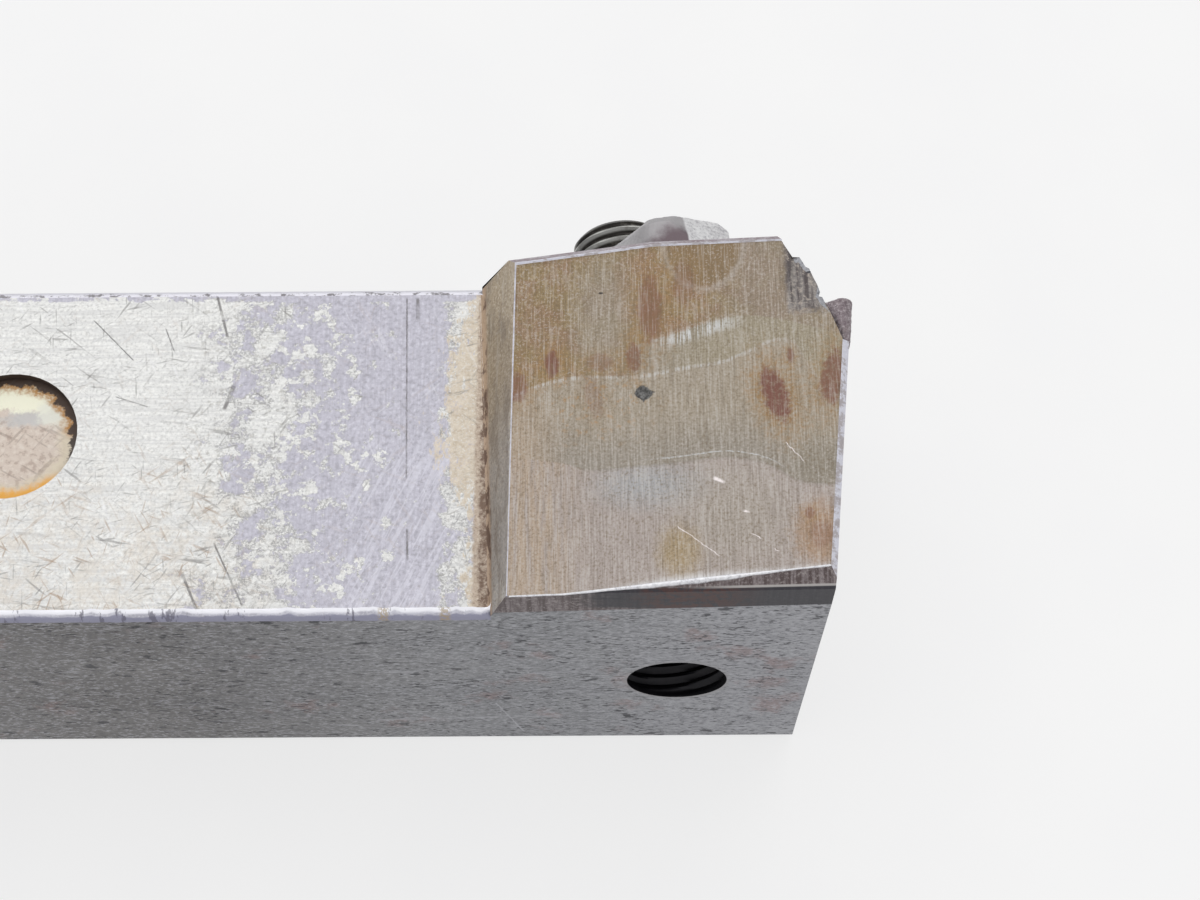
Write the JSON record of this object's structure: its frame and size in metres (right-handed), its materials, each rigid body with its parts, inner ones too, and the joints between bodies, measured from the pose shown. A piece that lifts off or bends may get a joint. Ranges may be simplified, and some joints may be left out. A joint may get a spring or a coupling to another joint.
{
  "type": "turning tool holder",
  "caption": "Square-shank facing tool holder with an offset, hand-ground head, an empty triangular insert pocket with its shim, a clamp and a clamp screw.",
  "frame": {"origin": "on the resting side face, midway between the tool's bottom and top faces, under the foot of the head's shoulder", "axes": "+X along the shank towards the cutting end, +Y the tool's upward direction (rake side), +Z the side that the head is offset to, up as the holder lies"},
  "size_m": [0.1698, 0.0467, 0.0383],
  "materials": {
    "body_steel": "worn satin steel, scratched, with ground and rusty places on the head",
    "clamp_steel": "smooth cast light grey steel",
    "screw_steel": "dark grey steel with bright thread crests",
    "shim_carbide": "dark grainy sintered carbide, dull"
  },
  "bodies": {
    "holder": {"holder_body": "body_steel", "shim": "shim_carbide", "shim_screw": "screw_steel"},
    "clamp": {"clamp": "clamp_steel"},
    "clamp_screw": {"clamp_screw": "screw_steel"}
  },
  "joints": [
    {"name": "clamp_lift", "type": "slide", "parent": "holder", "child": "clamp", "axis": [-0.1045, 0.9945, 0], "range_m": [0, 0.0025]},
    {"name": "clamp_screw_turn", "type": "hinge", "parent": "clamp", "child": "clamp_screw", "pos_m": [0.01316, 0.01781, 0.01615], "axis": [-0.1045, 0.9945, 0], "range_deg": [0, 430]}
  ],
  "couplings": [
    {"joint": "clamp_screw_turn", "follows": "clamp_lift", "rad_per_m": 2968}
  ]
}
